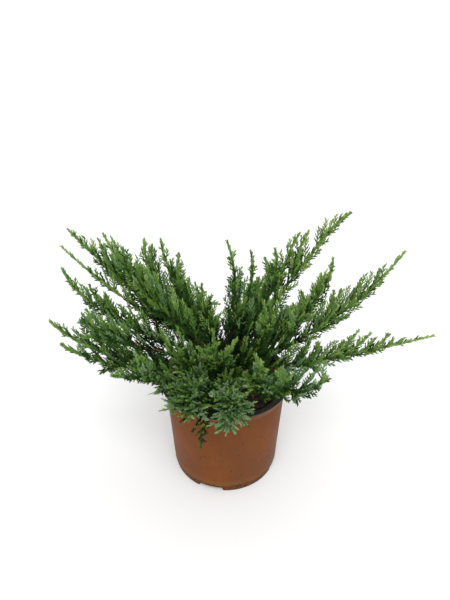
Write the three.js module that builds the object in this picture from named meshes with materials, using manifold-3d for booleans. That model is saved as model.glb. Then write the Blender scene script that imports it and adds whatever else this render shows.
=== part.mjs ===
// Potted tamariscifolia savin juniper: a low spreading conifer in a three-litre nursery pot.
// Millimetres, +Z up. The origin is on the flat underside of the pot, on the pot's axis.
// The crown spreads furthest along X, and its open front, where the rim shows, faces -Y.
import * as THREE from "three";
import { mergeVertices } from "three/addons/utils/BufferGeometryUtils.js";
import Module from "manifold-3d";

const wasm = await Module();
wasm.setup();

// The pot, as its outer and inner outlines need
const POT_HEIGHT = 152;
const RIM_RADIUS = 95;
const RIM_THICKNESS = 2;
const BAND_HEIGHT = 15; // flared band under the rim
const BAND_FOOT_RADIUS = 89;
const WALL_TOP_RADIUS = 87;
const WALL_FOOT_RADIUS = 79;
const WALL = 1.8;
const BEVEL_HEIGHT = 5;
const FOOT_RADIUS = 78;
const FOOT_RING_INNER_RADIUS = 62;
const CENTRE_PAD_RADIUS = 14;
const RECESS_HEIGHT = 5.5; // the floor between pad and foot ring stands this far off the ground
const FLOOR_TOP = 8;
const POT_SEGMENTS = 36;
const NOTCH = { count: 4, width: 36, first: -106 }; // drainage notches through the foot ring, in degrees
const DRAIN = { count: 6, radius: 6, ring: 38, sides: 6 };

// The compost in the pot and the trunk that stands on it
const CLEARANCE = 0.3; // kept between solids that touch on the real plant
const SOIL_TOP = 133;
const SOIL_EDGE_DROP = 5;
const SOIL_SEGMENTS = 28;
const TRUNK = {
  top: 194, radius: 8.4, topRadius: 6.5, flareRadius: 12.5, flareHeight: 9, lean: -0.06, sides: 10,
};

// Boughs and foliage
const BOUGH = { rootRadius: 2.2, tipRadius: 1.8, sides: 5, steps: 3 };
const STEM = { rootRadius: 1.6, fullRadius: 3.8, sides: 3, leaderSteps: 4, forkSteps: 3 };
const SEAT_GAP = 5.4; // kept between the centre lines of two limbs near the trunk
const LEADER_LEAVES = (length) => Math.round(4.5 + length / 36); // side shoots on a leader of this length
const FORK_LEAVES = (length) => Math.round(length / 22);
const LEAF = {
  first: 0.03, // share of the stem at which side shoots start
  clad: 0.88, // share of the stem that carries them; the rest is the bare tip
  lift: 0.28, // how strongly they turn upwards
  taper: 0.88, // how much shorter the last is than the first, where a plume states no other
  level: 0.75, // how long those beside the stem are, as a share of the longest
  lopsided: 0.28, // how much longer those above the stem are, and how much shorter those below
  smallest: 10.5,
  footWidth: 0.8,
  widening: 0.145, // half width gained for each millimetre of length
  widest: 7.2,
  keel: 3,
};
const FORK_GIRTH = 0.72; // side shoots on a fork, as a share of those on its leader
const FORK_SEED = 50;
const GOLDEN_ANGLE = THREE.MathUtils.degToRad(137.5);

// Every plume of the crown: where its leader ends, the point its path passes half-way, the share of it that
// is a bare bough (0 where foliage starts at the trunk), the length of its longest side shoot, how much
// shorter the last one is where that isn't as usual, and the forks that leave the leader, with the point a
// fork passes half-way where it doesn't simply bend away.
const PLUMES = [
  {
    name: "left_high", tip: [-225, 85, 344], via: [-136, 48, 268], bare: 0.18, girth: 56,
    forks: [
      { at: 0.5, tip: [-186, 94, 326] },
      { at: 0.22, tip: [-226, 50, 332], via: [-140, 26, 262] },
    ],
  },
  {
    name: "left_crest", tip: [-157, 20, 361], via: [-100, 4, 274], bare: 0.14, girth: 60,
    forks: [{ at: 0.45, tip: [-154, 44, 348] }, { at: 0.5, tip: [-132, 6, 348] }],
  },
  {
    name: "left_middle", tip: [-200, -26, 332], via: [-139, -22, 255], bare: 0.18, girth: 46,
    forks: [
      { at: 0.5, tip: [-166, -38, 316] },
      { at: 0.4, tip: [-145, -48, 310] },
      { at: 0.22, tip: [-144, 0, 247] },
    ],
  },
  {
    name: "left_blue", tip: [-168, -80, 290], via: [-116, -54, 240], bare: 0.2, girth: 52, taper: 0.72,
    forks: [{ at: 0.5, tip: [-166, -64, 296] }, { at: 0.5, tip: [-166, -90, 274] }],
  },
  {
    name: "left_long", tip: [-231, -20, 253], via: [-147, -15, 191], bare: 0.22, girth: 52,
    forks: [{ at: 0.5, tip: [-188, 4, 246] }, { at: 0.25, tip: [-164, 14, 204] }],
  },
  {
    name: "left_under", tip: [-206, -58, 242], via: [-127, -44, 196], bare: 0.22, girth: 54,
    forks: [{ at: 0.5, tip: [-155, -80, 214] }],
  },
  {
    name: "left_low", tip: [-135, -98, 224], via: [-90, -60, 194], bare: 0.16, girth: 47,
    forks: [{ at: 0.3, tip: [-85, -84, 187] }],
  },
  {
    name: "back_left", tip: [-126, 130, 313], via: [-96, 78, 247], bare: 0.18, girth: 56,
    forks: [{ at: 0.55, tip: [-112, 120, 308] }],
  },
  {
    name: "back_middle", tip: [-96, 100, 324], via: [-63, 52, 247], bare: 0.14, girth: 58,
    forks: [{ at: 0.5, tip: [-70, 110, 296] }, { at: 0.4, tip: [-54, 80, 268] }],
  },
  {
    name: "centre_back", tip: [2, 75, 330], via: [14, 40, 258], bare: 0, girth: 46,
    forks: [
      { at: 0.5, tip: [26, 60, 272] },
      { at: 0.25, tip: [34, 35, 331], via: [34, 32, 272] },
      { at: 0.2, tip: [0, 36, 240] },
    ],
  },
  {
    name: "centre_left", tip: [-32, 20, 290], via: [-26, 20, 228], bare: 0, girth: 44,
    forks: [
      { at: 0.4, tip: [-42, 30, 286] },
      { at: 0.45, tip: [-18, 22, 270] },
      { at: 0.2, tip: [-6, 14, 246] },
    ],
  },
  {
    name: "right_spire", tip: [68, 50, 328], via: [58, 22, 262], bare: 0, girth: 46,
    forks: [{ at: 0.55, tip: [55, 62, 310] }],
  },
  {
    name: "right_high", tip: [173, 75, 371], via: [110, 58, 301], bare: 0.16, girth: 48,
    forks: [
      { at: 0.3, tip: [105, 75, 342], via: [88, 64, 306] },
      { at: 0.42, tip: [118, 75, 345], via: [102, 66, 311] },
    ],
  },
  {
    name: "right_middle", tip: [137, 0, 335], via: [104, -2, 252], bare: 0.22, girth: 46,
    forks: [
      { at: 0.5, tip: [95, -10, 294] },
      { at: 0.6, tip: [126, 12, 308] },
      { at: 0.3, tip: [119, 5, 244] },
    ],
  },
  {
    name: "right_long", tip: [240, 30, 332], via: [142, 10, 234], bare: 0.24, girth: 58,
    forks: [{ at: 0.5, tip: [192, 45, 286] }, { at: 0.42, tip: [149, 20, 278] }],
  },
  {
    name: "right_low", tip: [282, -15, 228], via: [141, -20, 193], bare: 0.26, girth: 40,
    forks: [
      { at: 0.45, tip: [182, -8, 233] },
      { at: 0.52, tip: [196, -16, 233] },
      { at: 0.66, tip: [222, -15, 231] },
    ],
  },
  {
    name: "right_droop", tip: [117, -110, 232], via: [80, -84, 188], bare: 0.2, girth: 58, taper: 0.7,
    forks: [{ at: 0.5, tip: [82, -112, 196] }, { at: 0.3, tip: [94, -88, 216] }],
  },
  {
    name: "centre_right", tip: [45, -45, 299], via: [46, -34, 224], bare: 0, girth: 54,
    forks: [{ at: 0.5, tip: [70, -34, 310] }],
  },
  { name: "inner_right", tip: [79, -24, 276], via: [76, -24, 216], bare: 0, girth: 54, forks: [] },
  {
    name: "inner_dark", tip: [116, -60, 243], via: [90, -50, 204], bare: 0.2, girth: 54,
    forks: [{ at: 0.5, tip: [124, -50, 196] }],
  },
  {
    name: "front_left_high", tip: [-75, -90, 286], via: [-50, -56, 212], bare: 0, girth: 50,
    forks: [{ at: 0.25, tip: [-61, -46, 262] }, { at: 0.35, tip: [-52, -118, 231] }],
  },
  {
    name: "front_left_low", tip: [-101, -110, 260], via: [-75, -85, 200], bare: 0.16, girth: 52, taper: 0.72,
    forks: [
      { at: 0.3, tip: [-84, -106, 204] },
      { at: 0.25, tip: [-58, -120, 206] },
      { at: 0.3, tip: [-68, -112, 218] },
    ],
  },
  {
    name: "front_light", tip: [-14, -90, 284], via: [-11, -60, 214], bare: 0, girth: 52,
    forks: [{ at: 0.25, tip: [13, -105, 280] }, { at: 0.3, tip: [-34, -84, 256] }],
  },
  {
    name: "front_slim", tip: [32, -115, 268], via: [38, -84, 206], bare: 0, girth: 44,
    forks: [{ at: 0.35, tip: [25, -124, 218] }],
  },
  {
    name: "front_right", tip: [64, -112, 245], via: [56, -86, 192], bare: 0, girth: 48, taper: 0.7,
    forks: [{ at: 0.4, tip: [47, -110, 208] }],
  },
  {
    name: "front_rim", tip: [2, -143, 180], via: [6, -92, 190], bare: 0.16, girth: 60, taper: 0.5,
    forks: [
      { at: 0.5, tip: [24, -139, 186] },
      { at: 0.5, tip: [-10, -138, 180] },
      { at: 0.4, tip: [32, -128, 194] },
      { at: 0.3, tip: [10, -138, 224] },
      { at: 0.3, tip: [-15, -138, 227] },
    ],
  },
  {
    name: "front_corner", tip: [-62, -122, 188], via: [-38, -72, 184], bare: 0.16, girth: 58, taper: 0.6,
    forks: [
      { at: 0.5, tip: [-43, -128, 182] },
      { at: 0.4, tip: [-24, -134, 197] },
      { at: 0.45, tip: [-38, -128, 204] },
      { at: 0.3, tip: [-33, -128, 224] },
    ],
  },
  {
    name: "front_hanging", tip: [-30, -132, 142], via: [-20, -96, 178], bare: 0.3, girth: 28,
    forks: [],
  },
  {
    name: "rear_left", tip: [-150, 150, 240], via: [-88, 82, 210], bare: 0.18, girth: 60,
    forks: [
      { at: 0.5, tip: [-112, 176, 226] },
      { at: 0.4, tip: [-150, 105, 180] },
      { at: 0.25, tip: [-100, 120, 164] },
    ],
  },
  {
    name: "rear_middle", tip: [-86, 200, 176], via: [-46, 106, 184], bare: 0.18, girth: 60,
    forks: [
      { at: 0.5, tip: [-10, 204, 158] },
      { at: 0.4, tip: [-112, 165, 172] },
      { at: 0.25, tip: [-4, 118, 174] },
    ],
  },
  {
    name: "rear_right", tip: [70, 200, 188], via: [40, 104, 190], bare: 0.18, girth: 60,
    forks: [{ at: 0.5, tip: [26, 194, 180] }, { at: 0.4, tip: [90, 165, 182] }],
  },
  {
    name: "rear_side", tip: [142, 128, 178], via: [80, 66, 184], bare: 0.18, girth: 60,
    forks: [
      { at: 0.5, tip: [154, 100, 218] },
      { at: 0.4, tip: [118, 146, 186] },
      { at: 0.3, tip: [122, 84, 168] },
    ],
  },
  {
    name: "rear_crest", tip: [62, 128, 246], via: [36, 68, 218], bare: 0.16, girth: 52,
    forks: [{ at: 0.5, tip: [88, 100, 250] }],
  },
];

const MATERIALS = {
  pot: new THREE.MeshStandardMaterial({ color: 0x8a5233, roughness: 0.55, metalness: 0 }),
  compost: new THREE.MeshStandardMaterial({ color: 0x33231a, roughness: 0.95, metalness: 0 }),
  bark: new THREE.MeshStandardMaterial({ color: 0x6d4124, roughness: 0.85, metalness: 0 }),
  foliage: new THREE.MeshStandardMaterial({ color: 0x4f7a45, roughness: 0.6, metalness: 0 }),
};

const UP = new THREE.Vector3(0, 0, 1);
const SIDEWAYS = new THREE.Vector3(1, 0, 0);

// Solids

function solidOf(geometry) {
  const bare = geometry.index ? geometry.toNonIndexed() : geometry.clone();
  bare.deleteAttribute("normal");
  bare.deleteAttribute("uv");
  const merged = mergeVertices(bare, 1e-3);
  const corners = Array.from(merged.index.array);
  const kept = [];
  for (let i = 0; i < corners.length; i += 3) {
    const [a, b, c] = corners.slice(i, i + 3);
    if (a !== b && b !== c && c !== a) kept.push(a, b, c);
  }
  const vertProperties = merged.getAttribute("position").array;
  const make = (triVerts) => new wasm.Manifold(new wasm.Mesh({ numProp: 3, vertProperties, triVerts }));
  const solid = make(new Uint32Array(kept));
  return solid.volume() > 0 ? solid : make(new Uint32Array(kept.reverse()));
}

function meshOf(solid, name, material) {
  const { vertProperties, triVerts } = solid.getMesh();
  const geometry = new THREE.BufferGeometry();
  geometry.setAttribute("position", new THREE.BufferAttribute(new Float32Array(vertProperties), 3));
  geometry.setIndex(new THREE.BufferAttribute(new Uint32Array(triVerts), 1));
  geometry.computeVertexNormals();
  const mesh = new THREE.Mesh(geometry, material);
  mesh.name = name;
  return mesh;
}

// A lathe turned about +Z from [radius, height] pairs.
function turned(outline, segments) {
  const profile = outline.map(([radius, height]) => new THREE.Vector2(radius, height));
  return solidOf(new THREE.LatheGeometry(profile, segments).rotateX(Math.PI / 2));
}

// A limb is a row of points with a radius at each; a last radius of 0 ends it in a point.
function limbGeometry({ points, radii }, sides) {
  const last = points.length - 1;
  const reference = new THREE.Vector3().subVectors(points[last], points[0]).cross(UP);
  if (reference.length() < 1) reference.copy(SIDEWAYS);
  const corners = [];
  const rings = points.map((point, i) => {
    if (radii[i] === 0) return [corners.push(point.toArray()) - 1];
    const [before, after] = [points[Math.max(i - 1, 0)], points[Math.min(i + 1, last)]];
    const along = new THREE.Vector3().subVectors(after, before).normalize();
    const across = reference.clone().addScaledVector(along, -reference.dot(along)).normalize();
    const over = new THREE.Vector3().crossVectors(across, along);
    return Array.from({ length: sides }, (_, k) => {
      const turn = (2 * Math.PI * k) / sides;
      const corner = point.clone().addScaledVector(over, radii[i] * Math.cos(turn));
      corner.addScaledVector(across, radii[i] * Math.sin(turn));
      return corners.push(corner.toArray()) - 1;
    });
  });
  const faces = [];
  const cap = (ring, flip) => {
    for (let k = 1; k < ring.length - 1; k++)
      faces.push(...(flip ? [ring[0], ring[k + 1], ring[k]] : [ring[0], ring[k], ring[k + 1]]));
  };
  cap(rings[0], true);
  for (let i = 0; i < last; i++) {
    const [lower, upper] = [rings[i], rings[i + 1]];
    for (let k = 0; k < sides; k++) {
      const next = (k + 1) % sides;
      if (upper.length === 1) faces.push(lower[k], lower[next], upper[0]);
      else faces.push(lower[k], lower[next], upper[next], lower[k], upper[next], upper[k]);
    }
  }
  if (rings[last].length > 1) cap(rings[last], false);
  const geometry = new THREE.BufferGeometry();
  geometry.setAttribute("position", new THREE.Float32BufferAttribute(corners.flat(), 3));
  geometry.setIndex(faces);
  return geometry;
}

const limbSolid = (limb, sides) => solidOf(limbGeometry(limb, sides));

// The pot: one turned shell, with drain holes through the floor and notches through the foot ring

function potSolid() {
  const bandFoot = POT_HEIGHT - BAND_HEIGHT;
  const shell = turned(
    [
      [0, 0],
      [CENTRE_PAD_RADIUS, 0],
      [CENTRE_PAD_RADIUS + 3, RECESS_HEIGHT],
      [FOOT_RING_INNER_RADIUS - 2, RECESS_HEIGHT],
      [FOOT_RING_INNER_RADIUS, 0],
      [FOOT_RADIUS, 0],
      [WALL_FOOT_RADIUS, BEVEL_HEIGHT],
      [WALL_TOP_RADIUS, bandFoot - 0.6],
      [BAND_FOOT_RADIUS, bandFoot],
      [RIM_RADIUS, POT_HEIGHT - 1],
      [RIM_RADIUS - 0.4, POT_HEIGHT],
      [RIM_RADIUS - RIM_THICKNESS, POT_HEIGHT],
      [BAND_FOOT_RADIUS - RIM_THICKNESS, bandFoot],
      [WALL_FOOT_RADIUS - WALL, FLOOR_TOP + 2],
      [WALL_FOOT_RADIUS - WALL - 3, FLOOR_TOP],
      [0, FLOOR_TOP],
    ],
    POT_SEGMENTS,
  );
  const cutters = [];
  for (let i = 0; i < NOTCH.count; i++) {
    const depth = WALL_FOOT_RADIUS - FOOT_RING_INNER_RADIUS + 8;
    const box = new THREE.BoxGeometry(depth, NOTCH.width, 2 * (RECESS_HEIGHT - 0.2));
    box.translate(FOOT_RING_INNER_RADIUS - 4 + depth / 2, 0, 0);
    box.rotateZ(THREE.MathUtils.degToRad(NOTCH.first + (360 * i) / NOTCH.count));
    cutters.push(solidOf(box));
  }
  for (let i = 0; i < DRAIN.count; i++) {
    const hole = new THREE.CylinderGeometry(DRAIN.radius, DRAIN.radius, 3 * FLOOR_TOP, DRAIN.sides);
    hole.rotateX(Math.PI / 2).translate(DRAIN.ring, 0, 0);
    hole.rotateZ((2 * Math.PI * (i + 0.5)) / DRAIN.count);
    cutters.push(solidOf(hole));
  }
  return shell.subtract(wasm.Manifold.union(cutters));
}

function soilSolid() {
  const edge = SOIL_TOP - SOIL_EDGE_DROP;
  const wallRise = POT_HEIGHT - BAND_HEIGHT - FLOOR_TOP - 2;
  const wallSlope = (BAND_FOOT_RADIUS - RIM_THICKNESS - WALL_FOOT_RADIUS + WALL) / wallRise;
  const edgeRadius = WALL_FOOT_RADIUS - WALL + wallSlope * (edge - FLOOR_TOP - 2);
  return turned(
    [
      [0, FLOOR_TOP + CLEARANCE],
      [WALL_FOOT_RADIUS - WALL - 3.6, FLOOR_TOP + CLEARANCE],
      [WALL_FOOT_RADIUS - WALL - 2 * CLEARANCE, FLOOR_TOP + 2.5],
      [edgeRadius - 2 * CLEARANCE, edge],
      [edgeRadius * 0.55, SOIL_TOP - 1],
      [TRUNK.flareRadius + 8, SOIL_TOP],
      [0, SOIL_TOP],
    ],
    SOIL_SEGMENTS,
  );
}

// The trunk: a short leaning stem with a root flare, cut flat where it stands on the compost

const trunkCentre = (height) => new THREE.Vector3(TRUNK.lean * (height - SOIL_TOP), 0, height);

function trunkSolid(extra = 0) {
  const foot = SOIL_TOP + CLEARANCE - 3;
  const rings = [
    [foot, TRUNK.flareRadius],
    [foot + 0.5 * TRUNK.flareHeight, 0.4 * TRUNK.flareRadius + 0.6 * TRUNK.radius],
    [foot + 1.2 * TRUNK.flareHeight, TRUNK.radius],
    [0.5 * (foot + TRUNK.top), 0.5 * (TRUNK.radius + TRUNK.topRadius)],
    [TRUNK.top - 4, TRUNK.topRadius],
    [TRUNK.top + extra, 0.5 * TRUNK.topRadius],
  ];
  const grown = {
    points: rings.map(([height]) => trunkCentre(height)),
    radii: rings.map(([, radius]) => radius + extra),
  };
  return limbSolid(grown, TRUNK.sides).trimByPlane([0, 0, 1], SOIL_TOP + CLEARANCE);
}

// The growth rule

// A limb leaves the trunk as low as it can without coming close to one that is already there.
// Flatter limbs go first.
function seatPlumes(plumes) {
  const climb = ({ via, tip }) => (2 * via[2] - 0.5 * tip[2] - 260) / Math.hypot(via[0], via[1]);
  const shares = Array.from({ length: 60 }, (_, i) => 0.01 * (i + 1)); // the stretch that could come close
  const pathFrom = (seat, plume) => shares.map((share) => leaderCurve(seat, plume).getPoint(share));
  const outside = (point) => Math.hypot(point.x, point.y) > TRUNK.radius - 2;
  const seats = new Map();
  const taken = [];
  for (const plume of [...plumes].sort((a, b) => climb(a) - climb(b))) {
    let height = SOIL_TOP + 1.2 * TRUNK.flareHeight;
    let path = [];
    do {
      height += 1;
      path = pathFrom(trunkCentre(height), plume).filter(outside);
    } while (taken.some((point) => path.some((other) => point.distanceTo(other) < SEAT_GAP)));
    taken.push(...path);
    seats.set(plume.name, trunkCentre(height));
  }
  return seats;
}

// A repeatable number from 0 to 1 for each plume, shoot and purpose.
function chance(plume, shoot, purpose) {
  const wave = Math.sin(plume * 12.9898 + shoot * 78.233 + purpose * 37.719) * 43758.5453;
  return wave - Math.floor(wave);
}

function curveThrough(root, via, end) {
  const tip = new THREE.Vector3(...end);
  const ends = new THREE.Vector3().addVectors(root, tip).multiplyScalar(0.5);
  const bend = new THREE.Vector3(...via).multiplyScalar(2).sub(ends);
  return new THREE.QuadraticBezierCurve3(root, bend, tip);
}

const leaderCurve = (root, plume) => curveThrough(root, plume.via, plume.tip);

function forkCurve(leader, fork) {
  const root = leader.getPoint(fork.at);
  if (fork.via) return curveThrough(root, fork.via, fork.tip);
  const tip = new THREE.Vector3(...fork.tip);
  const bend = root.clone().addScaledVector(leader.getTangent(fork.at), 0.45 * root.distanceTo(tip));
  return new THREE.QuadraticBezierCurve3(root, bend, tip);
}

function boughLimb(curve, bare) {
  const shares = Array.from({ length: BOUGH.steps + 1 }, (_, i) => i / BOUGH.steps);
  const points = shares.map((share) => curve.getPoint(bare * share));
  const radii = shares.map((share) => THREE.MathUtils.lerp(BOUGH.rootRadius, BOUGH.tipRadius, share));
  return { points, radii };
}

// The stretch of a curve from one share of it to its end, thickest where it is clad in leaves.
function stemLimb(curve, start, rootRadius, steps) {
  const shares = Array.from({ length: steps + 1 }, (_, i) => i / steps);
  const points = shares.map((share) => curve.getPoint(start + (1 - start) * share));
  const swell = (share) => Math.min(1, 2 * share, 1.8 * (1 - share));
  const fullness = (share) => THREE.MathUtils.lerp(rootRadius, STEM.fullRadius, swell(share));
  const radiusAt = (share) => (share === 1 ? 0 : fullness(share));
  return { points, radii: shares.map(radiusAt) };
}

// How long side shoots are along a plume: longest near its foot, shortest at the tip.
const leafProfile = (share, taper) => Math.min(1, 0.75 + share) * (1 - taper * share ** 1.35);

// The leafy side shoots of one stem. Each leaves at an angle, then turns forwards and up.
function* leavesAlong({ curve, start, girth, taper, seed, leaves }) {
  const count = leaves(curve.getLength() * (1 - start));
  for (let i = 0; i < count; i++) {
    const share = LEAF.first + (LEAF.clad * (i + 0.5 * chance(seed, i, 1))) / count;
    const root = curve.getPoint(start + (1 - start) * share);
    const along = curve.getTangent(start + (1 - start) * share);
    const across = new THREE.Vector3().crossVectors(along, UP).normalize();
    const over = new THREE.Vector3().crossVectors(across, along);
    const turn = i * GOLDEN_ANGLE + 0.5 * (chance(seed, i, 2) - 0.5);
    const outward = over.multiplyScalar(Math.cos(turn)).addScaledVector(across, Math.sin(turn));
    const uneven = 0.2 * (chance(seed, i, 3) - 0.5);
    const unequal = LEAF.level + LEAF.lopsided * Math.cos(turn) + uneven;
    const size = girth * leafProfile(share, taper) * unequal;
    if (size < LEAF.smallest) continue;
    const spread = THREE.MathUtils.degToRad(46 - 14 * share);
    const first = along.clone().multiplyScalar(Math.cos(spread)).addScaledVector(outward, Math.sin(spread));
    first.addScaledVector(UP, 0.5 * LEAF.lift).normalize();
    const second = first.clone().addScaledVector(along, 0.35).addScaledVector(UP, LEAF.lift).normalize();
    const middle = root.clone().addScaledVector(first, 0.5 * size);
    const tip = middle.clone().addScaledVector(second, 0.5 * size);
    const side = new THREE.Vector3().crossVectors(outward, along).normalize();
    const halfWidth = Math.min(LEAF.widest, LEAF.footWidth + LEAF.widening * size);
    const broad = new THREE.Vector3().crossVectors(first, side).setLength(halfWidth);
    yield { root, middle, tip, side, broad };
  }
}

// A leafy side shoot in six faces: a point at its root, two broad corners and a keel half-way, and its tip.
function leafSolid({ root, middle, tip, broad, side }) {
  const keel = middle.clone().addScaledVector(side, LEAF.keel);
  const back = middle.clone().addScaledVector(side, -0.4 * LEAF.keel);
  const corners = [root, tip, back.clone().add(broad), back.clone().sub(broad), keel];
  const geometry = new THREE.BufferGeometry().setFromPoints(corners);
  geometry.setIndex([0, 2, 3, 0, 3, 4, 0, 4, 2, 1, 3, 2, 1, 4, 3, 1, 2, 4]);
  return solidOf(geometry);
}

// Growing the crown: boughs and stems first, then every side shoot that stays clear of its neighbours

function growCrown(standing) {
  const cutter = trunkSolid(CLEARANCE);
  const seats = seatPlumes(PLUMES);
  const placed = standing.map((solid) => ({ owner: null, solid, box: solid.boundingBox() }));
  const place = (owner, solid) => placed.push({ owner, solid, box: solid.boundingBox() });
  const crown = PLUMES.map((plume, seed) => {
    const leader = leaderCurve(seats.get(plume.name), plume);
    const start = plume.bare && plume.bare + CLEARANCE / leader.getLength();
    const taper = plume.taper ?? LEAF.taper;
    const stems = [{ curve: leader, start, girth: plume.girth, taper, seed, leaves: LEADER_LEAVES }];
    for (const [i, fork] of plume.forks.entries()) {
      const [curve, girth] = [forkCurve(leader, fork), FORK_GIRTH * plume.girth];
      stems.push({ curve, start: 0, girth, taper, seed: seed + FORK_SEED * (i + 1), leaves: FORK_LEAVES });
    }
    const parts = stems.map(({ curve, start: from }, i) => {
      const rootRadius = (i ? 0.8 : 1) * STEM.rootRadius;
      const steps = i ? STEM.forkSteps : STEM.leaderSteps;
      return limbSolid(stemLimb(curve, from, rootRadius, steps), STEM.sides).subtract(cutter);
    });
    const bough = plume.bare ? limbSolid(boughLimb(leader, plume.bare), BOUGH.sides).subtract(cutter) : null;
    return { name: plume.name, stems, parts, bough };
  });
  for (const owner of crown) {
    owner.parts.forEach((solid) => place(owner, solid));
    if (owner.bough) place(null, owner.bough);
  }
  const before = (a, b, k) => a.min[k] < b.max[k] + CLEARANCE;
  const near = (a, b) => [0, 1, 2].every((k) => before(a, b, k) && before(b, a, k));
  for (const owner of crown)
    for (const leaf of owner.stems.flatMap((stem) => [...leavesAlong(stem)])) {
      const solid = leafSolid(leaf);
      const box = solid.boundingBox();
      const others = placed.filter((other) => other.owner !== owner && near(box, other.box));
      if (others.some((other) => solid.minGap(other.solid, 2 * CLEARANCE) < CLEARANCE)) continue;
      owner.parts.push(solid);
      place(owner, solid);
    }
  return crown;
}

// The object

const pot = potSolid();
const compost = soilSolid();
const trunk = trunkSolid();
const plant = new THREE.Group();
plant.add(meshOf(pot, "pot", MATERIALS.pot));
plant.add(meshOf(compost, "compost", MATERIALS.compost));
plant.add(meshOf(trunk, "trunk", MATERIALS.bark));
for (const { name, parts, bough } of growCrown([pot, compost, trunk])) {
  if (bough) plant.add(meshOf(bough, `${name}_bough`, MATERIALS.bark));
  const [mass] = wasm.Manifold.union(parts).decompose().sort((a, b) => b.volume() - a.volume());
  plant.add(meshOf(mass, `${name}_foliage`, MATERIALS.foliage));
}

export default plant;
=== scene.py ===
# Potted tamariscifolia savin juniper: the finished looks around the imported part.
# The growth tables are in millimetres, as the part's own are; meshes are made in metres.
import math
from typing import NamedTuple

import bmesh
import bpy
import numpy as np
from mathutils import Matrix, Vector, noise


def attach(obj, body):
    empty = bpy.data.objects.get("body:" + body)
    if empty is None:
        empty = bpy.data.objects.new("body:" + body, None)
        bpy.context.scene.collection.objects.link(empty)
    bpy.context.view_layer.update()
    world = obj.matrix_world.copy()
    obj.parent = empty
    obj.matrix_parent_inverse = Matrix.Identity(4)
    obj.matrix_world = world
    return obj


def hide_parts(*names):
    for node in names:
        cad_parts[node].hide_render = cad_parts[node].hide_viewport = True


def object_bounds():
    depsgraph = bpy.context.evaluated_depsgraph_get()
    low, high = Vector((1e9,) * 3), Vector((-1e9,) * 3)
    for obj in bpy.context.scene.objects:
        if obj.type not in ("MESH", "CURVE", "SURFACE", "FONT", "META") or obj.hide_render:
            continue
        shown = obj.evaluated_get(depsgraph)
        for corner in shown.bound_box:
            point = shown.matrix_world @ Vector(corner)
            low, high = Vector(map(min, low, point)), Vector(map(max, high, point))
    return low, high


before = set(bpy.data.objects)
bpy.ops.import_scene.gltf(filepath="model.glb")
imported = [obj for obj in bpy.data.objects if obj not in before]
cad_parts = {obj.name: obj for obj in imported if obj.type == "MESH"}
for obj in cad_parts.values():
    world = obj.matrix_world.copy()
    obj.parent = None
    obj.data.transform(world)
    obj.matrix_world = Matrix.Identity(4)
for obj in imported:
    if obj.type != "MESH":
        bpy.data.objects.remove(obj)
cad_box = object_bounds()
NODES = set(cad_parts)
MM = 0.001

# Camera at the photograph's angle

CAMERA_PLACE = (-0.0005, -0.532, 0.556)
CAMERA_PITCH = 27.85  # degrees below level
CAMERA_LENS = 27.06

camera = bpy.data.objects.new("camera", bpy.data.cameras.new("camera"))
camera.data.lens = CAMERA_LENS
camera.data.clip_start = 0.01
camera.location = CAMERA_PLACE
camera.rotation_euler = (math.radians(90 - CAMERA_PITCH), 0, 0)
bpy.context.scene.collection.objects.link(camera)
bpy.context.scene.camera = camera

# Sizes that the part states too

POT_HEIGHT = 152
RIM_RADIUS = 95
RIM_THICKNESS = 2
BAND_FOOT = 137
BAND_FOOT_RADIUS = 89
WALL_TOP_RADIUS = 87
WALL_FOOT_RADIUS = 79
WALL = 1.8
BEVEL_HEIGHT = 5
FOOT_RADIUS = 78
FOOT_RING_INNER_RADIUS = 62
CENTRE_PAD_RADIUS = 14
RECESS_HEIGHT = 5.5
FLOOR_TOP = 8
NOTCH_COUNT = 4
NOTCH_WIDTH = 36
NOTCH_FIRST = -106
DRAIN_COUNT = 6
DRAIN_RADIUS = 6
DRAIN_RING = 38
CLEARANCE = 0.3
SOIL_TOP = 133
SOIL_EDGE_DROP = 5
TRUNK_TOP = 194
TRUNK_RADIUS = 8.4
TRUNK_TOP_RADIUS = 6.5
FLARE_RADIUS = 12.5
FLARE_HEIGHT = 9
TRUNK_LEAN = -0.06
SEAT_GAP = 5.4  # kept between the centre lines of two limbs near the trunk
SEAT_LEVEL = 260  # one and a half times a middling height of the limbs' seats on the trunk
FORK_GIRTH = 0.72  # girth of a fork's foliage, as a share of its leader's
FORK_SEED = 50  # a fork's seed is its plume's number, and this much more for each fork
GOLDEN_ANGLE = math.radians(137.5)
UP = np.array([0.0, 0.0, 1.0])

# Sizes of the finished pieces alone

LIP = 9  # how far the black inner edge of the rim reaches inwards
NOTCH_HEIGHT = 8  # height of the notches in the outer face of the foot
SOIL_RADIUS = 86  # distance from the axis over which the compost falls to its edge
BOX_MARGIN = 3  # how far a shoot may end outside the part's box


class Plume(NamedTuple):
    """One plume of the crown and the family of greens that its sprays take.

    Places, girths and forks are the part's own, but for finer work on the front rim, corner and hanging
    ones.
    """

    name: str
    tip: tuple
    via: tuple
    bare: float
    girth: float
    forks: list
    greens: str
    spur: float = 11  # length of the short shoots that clothe its stems
    taper: float = 0.88  # how much shorter its last side shoot is than its first
    crowd: float = 1  # distance between side shoots, as a share of the usual one; less is also more uneven


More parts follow.
